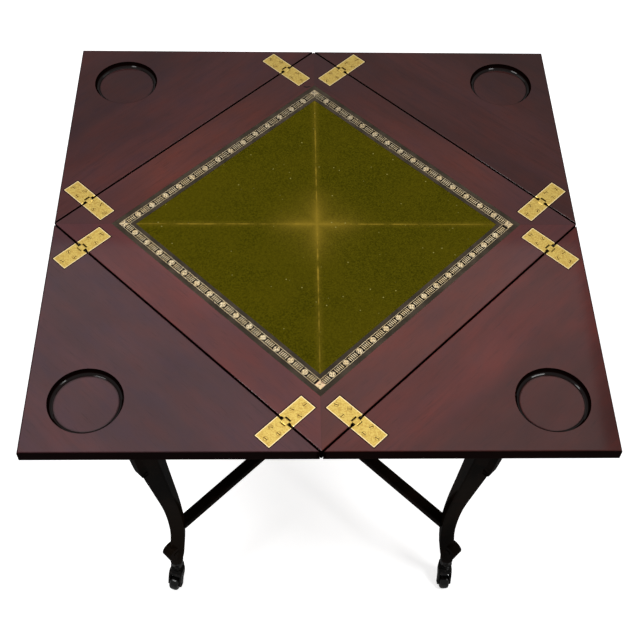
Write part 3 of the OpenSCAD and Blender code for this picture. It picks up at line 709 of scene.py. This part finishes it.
def slotted_screws():
    """A slotted countersunk screw in each point, each slot at its own angle."""
    tree, w, given, result = group_tree(
        "slotted screws", Shaping,
        [("Places", GEOMETRY, None), ("Head Diameter", FLOAT, SCREW_HEAD),
         ("Depth", FLOAT, 2.3 * MM), ("Slot Width", FLOAT, 1.1 * MM),
         ("Slot Depth", FLOAT, 0.9 * MM), ("Seed", INTEGER, 1),
         ("Fill Depth", FLOAT, 0.25 * MM), ("Ring Width", FLOAT, 0.2 * MM),
         ("Ring Thickness", FLOAT, 0.1 * MM), ("Finish", MATERIAL, None),
         ("Grime", MATERIAL, None)],
        [("Geometry", GEOMETRY, None)],
    )
    diameter, depth, ring = given["Head Diameter"], given["Depth"], given["Ring Width"]
    slot_width, slot_depth, fill = given["Slot Width"], given["Slot Depth"], given["Fill Depth"]
    radius = w.half(diameter)
    cone = w.made("MeshCone", {
        "Vertices": 24, "Radius Top": radius, "Radius Bottom": w.times(radius, 0.48),
        "Depth": depth,
    })
    cone = w.moved(cone, w.xyz(z=w.times(depth, -1.0)))
    slot = w.box(w.times(diameter, 1.2), slot_width, w.times(slot_depth, 2.0))
    head = w.made("MeshBoolean", {"Mesh 1": cone, "Mesh 2": slot}, operation="DIFFERENCE")
    slot_fill = w.box(w.times(diameter, 0.94), slot_width, w.minus(slot_depth, fill))
    slot_fill = w.moved(slot_fill, w.xyz(z=w.times(w.plus(slot_depth, fill), -0.5)))
    rim = w.swept(w.circle(24, w.minus(radius, w.half(ring))),
                  w.rectangle(ring, given["Ring Thickness"]))
    screw = w.joined(w.coated(w.joined(rim, slot_fill), given["Grime"]),
                     w.coated(head, given["Finish"]))
    turn = w.add("FunctionNodeRandomValue", {
        2: 0.0, 3: math.pi, "Seed": given["Seed"]}, data_type="FLOAT")
    screws = w.placed(given["Places"], screw, Rotation=w.xyz(z=turn.outputs[1]))
    w.join(w.realized(screws), result["Geometry"])
    return tree


def round_heads():
    """A low round head in each point, sunk to its middle in the surface there."""
    tree, w, given, result = group_tree(
        "round heads", Shaping,
        [("Places", GEOMETRY, None), ("Diameter", FLOAT, 8.5 * MM), ("Bulge", FLOAT, 2.2 * MM),
         ("Finish", MATERIAL, None)],
        [("Geometry", GEOMETRY, None)],
    )
    radius = w.half(given["Diameter"])
    ball = w.made("MeshUVSphere", {"Segments": 24, "Rings": 12, "Radius": radius})
    flat = w.over(given["Bulge"], radius)
    heads = w.placed(given["Places"], ball, Scale=w.xyz(1.0, flat, 1.0))
    w.join(w.coated(w.realized(heads), given["Finish"]), result["Geometry"])
    return tree


def carved_crescents():
    """Low ridges concentric with a scroll, on both sides of each knee strip."""
    tree, w, given, result = group_tree(
        "carved crescents", Shaping,
        [("Geometry", GEOMETRY, None), ("Centre", VECTOR, None),
         ("Half Width", FLOAT, KNEE_HALF_WIDTH),
         ("Outer Radius", FLOAT, 0.86 * KNEE_SCROLL_RADIUS),
         ("Step", FLOAT, 2.1 * MM), ("Relief", FLOAT, 0.7 * MM), ("Ridges", INTEGER, 3),
         ("Legs", INTEGER, 4), ("Finish", MATERIAL, None)],
        [("Geometry", GEOMETRY, None)],
    )
    quarter_turn = math.radians(90)
    half_width, radius = given["Half Width"], given["Outer Radius"]
    arc = w.made("CurveArc", {
        "Resolution": 20, "Radius": radius, "Start Angle": math.radians(-120),
        "Sweep Angle": math.radians(150),
    }, mode="RADIUS")
    ridge = w.moved(w.swept(arc, w.circle(8, given["Relief"])), rotation=(quarter_turn, 0, 0))
    number = w.made("InputIndex")
    smaller = w.minus(1.0, w.times(number, w.over(given["Step"], radius)))
    nest = w.placed(w.points(given["Ridges"]), ridge, Scale=w.xyz(smaller, 1.0, smaller))
    both_sides = w.points(2, w.xyz(y=w.times(half_width, -1.0)), w.xyz(y=w.times(half_width, 2.0)))
    at_knee = w.moved(w.placed(both_sides, nest), given["Centre"])
    turn = w.plus(w.times(number, quarter_turn), quarter_turn / 2)
    round_table = w.placed(w.points(given["Legs"]), at_knee, Rotation=w.xyz(z=turn))
    w.join(w.coated(w.realized(round_table), given["Finish"]), result["Geometry"])
    return tree


def gilt_tooling():
    """Two ruled lines, roundels, groups of bars and corner squares round a square band."""
    tree, w, given, result = group_tree(
        "gilt tooling", Shaping,
        [("Geometry", GEOMETRY, None), ("Outer Half", FLOAT, GILT_OUTER_LINE),
         ("Inner Half", FLOAT, GILT_INNER_LINE), ("Line Width", FLOAT, 1.0 * MM),
         ("Pitch", FLOAT, GILT_PITCH), ("Roundels", INTEGER, 14),
         ("Roundel Diameter", FLOAT, 9.2 * MM), ("Right Shift", FLOAT, -3.3 * MM),
         ("Left Shift", FLOAT, -2.3 * MM), ("Bars", INTEGER, 5), ("Bar Pitch", FLOAT, 3.05 * MM),
         ("Bar Width", FLOAT, 1.1 * MM), ("Bar Length", FLOAT, 7.0 * MM),
         ("Corner", FLOAT, 10.4 * MM), ("Thickness", FLOAT, GILT_THICKNESS),
         ("Height", FLOAT, 0.0), ("Finish", MATERIAL, None), ("Corner Finish", MATERIAL, None),
         ("Worn Finish", MATERIAL, None)],
        [("Geometry", GEOMETRY, None)],
    )
    gold, thick, size, pitch = [given[name] for name in ("Finish", "Thickness", "Corner", "Pitch")]
    outer, inner = given["Outer Half"], given["Inner Half"]
    middle = w.half(w.plus(outer, inner))
    to_side = w.times(middle, -1.0)
    radius = w.half(given["Roundel Diameter"])

    ring = w.swept(w.circle(24, w.times(radius, 0.86)), w.rectangle(w.times(radius, 0.28), thick))
    petal = w.made("MeshCylinder", {
        "Vertices": 10, "Radius": w.times(radius, 0.3), "Depth": thick})
    petal_ring = w.made("MeshCircle", {"Vertices": 4, "Radius": w.times(radius, 0.42)})
    roundel = w.joined(ring, w.placed(petal_ring, petal))
    bar = w.box(given["Bar Width"], given["Bar Length"], thick)
    bars = w.placed(w.row(given["Bars"], given["Bar Pitch"]), bar)
    run = w.joined(w.placed(w.row(given["Roundels"], pitch), roundel),
                   w.placed(w.row(w.plus(given["Roundels"], 1.0), pitch), bars))

    square = w.box(size, size, thick)
    stroke = w.box(w.times(size, 1.2), w.times(size, 0.13), w.times(thick, 1.6))
    cross = w.joined(*[w.moved(stroke, rotation=(0, 0, math.radians(a))) for a in (45, -45)])
    at_corner = w.xyz(middle, to_side)
    marks = w.coated(w.moved(cross, at_corner), gold)

    def quarter(shift, corner_finish):
        return w.joined(w.coated(w.moved(run, w.xyz(shift, to_side)), gold),
                        w.coated(w.moved(square, at_corner), corner_finish), marks)

    def ruled(half_side):
        side = w.times(half_side, 2.0)
        return w.swept(w.rectangle(side, side), w.rectangle(given["Line Width"], thick))

    shifts = (given["Right Shift"], 0.0, 0.0, given["Left Shift"])
    finishes = (given["Worn Finish"],) * 3 + (given["Corner Finish"],)
    quarters = [w.moved(quarter(*pair), rotation=(0, 0, math.radians(90 * i)))
                for i, pair in enumerate(zip(shifts, finishes))]
    rules = w.coated(w.joined(ruled(outer), ruled(inner)), gold)
    laid = w.moved(w.joined(w.joined(*quarters), rules), w.xyz(z=given["Height"]),
                   (0, 0, math.radians(45)))
    w.join(w.realized(laid), result["Geometry"])
    return tree


def linked(name, mesh):
    """Object of a mesh, in the scene."""
    piece = bpy.data.objects.new(name, mesh)
    bpy.context.scene.collection.objects.link(piece)
    return piece


def grown(name, tree, source, **values):
    """Plain mesh object from a geometry tree, with its named inputs set."""
    start = linked(name + " source", source)
    modifier = start.modifiers.new("tree", "NODES")
    modifier.node_group = tree
    sockets = {s.name: s.identifier for s in tree.interface.items_tree if s.in_out == "INPUT"}
    for label, value in values.items():
        modifier[sockets[label.replace("_", " ")]] = value
    bpy.context.view_layer.update()
    evaluated = start.evaluated_get(bpy.context.evaluated_depsgraph_get())
    mesh = bpy.data.meshes.new_from_object(evaluated)
    bpy.data.objects.remove(start)
    mesh.name = name
    return linked(name, mesh)


def points_mesh(places):
    mesh = bpy.data.meshes.new("places")
    mesh.from_pydata([tuple(p) for p in places], [], [])
    return mesh


def smooth(piece, angle=35):
    """Smooth shading with sharp edges kept."""
    mesh = piece.data
    for face in mesh.polygons:
        face.use_smooth = True
    mesh.set_sharp_from_angle(angle=math.radians(angle))
    return piece


# Hinge screws

def side_point(side, out, along, z):
    """Point in the frame of a side: out from the middle, along the side, and height."""
    angle = math.radians(SIDES[side])
    return Vector((out * math.cos(angle) - along * math.sin(angle),
                   out * math.sin(angle) + along * math.cos(angle), z))


def screw_places(side, hinge_edge, inwards):
    """Places of the six screws in a side's two leaves, measured from their hinge edge."""
    spots = ((SCREW_PAIR_AT, -SCREW_PAIR_APART / 2), (SCREW_PAIR_AT, SCREW_PAIR_APART / 2),
             (SCREW_THIRD_AT, 0))
    return [side_point(side, hinge_edge + inwards * out, hinge + along, TOP_Z - SCREW_SUNK)
            for hinge in (-HINGE_OFFSET, HINGE_OFFSET) for out, along in spots]


screw_tree = slotted_screws()
panel_places = [p for side in SIDES for p in screw_places(side, PANEL_HALF, -1)]
panel_screws = grown("panel_hinge_screws", screw_tree, points_mesh(panel_places), Seed=3,
                     Finish=plain_brass, Grime=screw_fill_dark)
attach(smooth(panel_screws), "top")
for number, side in enumerate(SIDES):
    flap_screws = grown(f"flap_hinge_screws_{side}", screw_tree,
                        points_mesh(screw_places(side, FLAP_EDGE, 1)), Seed=11 + number,
                        Finish=plain_brass, Grime=screw_fill_dark)
    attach(smooth(flap_screws), f"flap_{side}")

# Screws of the castor cups and carving of the knees

cup_places = [(x * FOOT, y * FOOT + side * CUP_RADIUS, CUP_SCREW_Z)
              for x in (-1, 1) for y in (-1, 1) for side in (-1, 1)]
cup_screws = grown("castor_cup_screws", round_heads(), points_mesh(cup_places), Finish=iron)
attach(smooth(cup_screws, 60), "base")

carving = grown("knee_carving", carved_crescents(), points_mesh([]), Centre=KNEE_SCROLL,
                Finish=leg_black)
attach(smooth(carving, 60), "base")

# Gilt tooling of the leather band

tooling = grown("gilt_tooling", gilt_tooling(), points_mesh([]),
                Height=LEATHER_Z + GILT_THICKNESS / 2 - GILT_SUNK,
                Finish=gold_leaf, Corner_Finish=rose_gold, Worn_Finish=worn_gold)
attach(tooling, "top")

# Baize, a felted cloth glued to the core board

def laid_cloth(name, half, low, high, cells=96):
    """Closed sheet with a faintly uneven surface and edges rolled down to the board."""
    random.seed(5)
    mesh = bmesh.new()
    bmesh.ops.create_grid(mesh, x_segments=cells, y_segments=cells, size=half)
    for vertex in mesh.verts:
        rim = half - max(abs(vertex.co.x), abs(vertex.co.y))
        roll = max(0.0, 1 - rim / CLOTH_ROLL) ** 2
        vertex.co.z = high - CLOTH_DROP * roll - CLOTH_UNEVEN * random.random()
    rim_edges = [edge for edge in mesh.edges if edge.is_boundary]
    foot = {vertex: mesh.verts.new((vertex.co.x, vertex.co.y, low))
            for vertex in mesh.verts[:] if vertex.is_boundary}
    for first, second in [edge.verts for edge in rim_edges]:
        mesh.faces.new((first, second, foot[second], foot[first]))
    bmesh.ops.contextual_create(mesh, geom=[e for e in mesh.edges if e.is_boundary])
    bmesh.ops.recalc_face_normals(mesh, faces=mesh.faces)
    turn = Matrix.Rotation(math.radians(45), 4, "Z")
    bmesh.ops.transform(mesh, matrix=turn, verts=mesh.verts)
    data = bpy.data.meshes.new(name)
    mesh.to_mesh(data)
    mesh.free()
    return linked(name, data)


cloth = laid_cloth("baize_cloth", LEATHER_INNER, CLOTH_LOW, CLOTH_HIGH)
cloth.data.materials.append(baize_green)
smooth(cloth, 60)
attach(cloth, "top")
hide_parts("baize")

# Floor, light and camera

def plainly_seen(w):
    """1 for camera, glossy and transmission rays, 0 for those that light the object."""
    rays = w.add("ShaderNodeLightPath").outputs
    return w.highest(*[rays[f"Is {kind} Ray"] for kind in ("Camera", "Glossy", "Transmission")])


def pale_floor():
    """Plain white to the camera and in reflections, with a soft shadow."""
    f = Finish("pale floor", Base_Color=(0.9, 0.9, 0.9, 1), Roughness=0.9)
    f.shader.inputs["Emission Color"].default_value = (1, 1, 1, 1)
    f.join(f.times(plainly_seen(f), 0.75), f.shader.inputs["Emission Strength"])
    return f.material


floor_mesh = bpy.data.meshes.new("floor")
floor_corners = [(x * FLOOR_HALF, y * FLOOR_HALF, 0)
                 for x, y in ((-1, -1), (1, -1), (1, 1), (-1, 1))]
floor_mesh.from_pydata(floor_corners, [], [(0, 1, 2, 3)])
floor_mesh.materials.append(pale_floor())
floor = linked("floor", floor_mesh)

world = bpy.data.worlds.new("studio")
bpy.context.scene.world = world
world.use_nodes = True
sky = Wiring(world.node_tree)
background = world.node_tree.nodes["Background"]
background.inputs["Color"].default_value = (1, 1, 1, 1)
sky.join(sky.ramp(plainly_seen(sky), 0.0, 1.0, 0.15, 1.0), background.inputs["Strength"])


def soft_lamp(name, place, target, width, depth, radiance):
    """Rectangular soft lamp whose face has a given brightness."""
    lamp = bpy.data.lights.new(name, "AREA")
    lamp.shape = "RECTANGLE"
    lamp.size, lamp.size_y = width, depth
    lamp.energy = radiance * math.pi * width * depth
    piece = linked(name, lamp)
    piece.location = place
    piece.rotation_euler = (Vector(target) - Vector(place)).to_track_quat("-Z", "Y").to_euler()


soft_lamp("back panel", (0.0, 1.2, 2.9), (0, 0.9, 0.7), 2.2, 1.1, 1.7)
soft_lamp("left softbox", (-1.15, -0.45, 2.9), (0, 0, 0.7), 0.8, 0.65, 18.5)
soft_lamp("right softbox", (1.5, -1.0, 2.9), (0, 0, 0.7), 0.8, 0.65, 21)

# The camera's directions and place, fitted to the edges of the top in the photograph
CAMERA_RIGHT = Vector((0.99961668, -0.01663556, 0.02213011))
CAMERA_UP = Vector((0.00017226, 0.80306284, 0.59589432))
CAMERA_FORWARD = Vector((0.02768491, 0.59566209, -0.80275788))
CAMERA_PLACE = (-0.04253, -1.12798, 2.00495)

camera_data = bpy.data.cameras.new("camera")
camera_data.sensor_width = 36
camera_data.lens = 62.735
camera = linked("camera", camera_data)
view = Matrix((CAMERA_RIGHT, CAMERA_UP, -CAMERA_FORWARD)).transposed().to_4x4()
view.translation = CAMERA_PLACE
camera.matrix_world = view
bpy.context.scene.camera = camera
bpy.context.scene.view_settings.view_transform = "Standard"

bpy.context.view_layer.update()
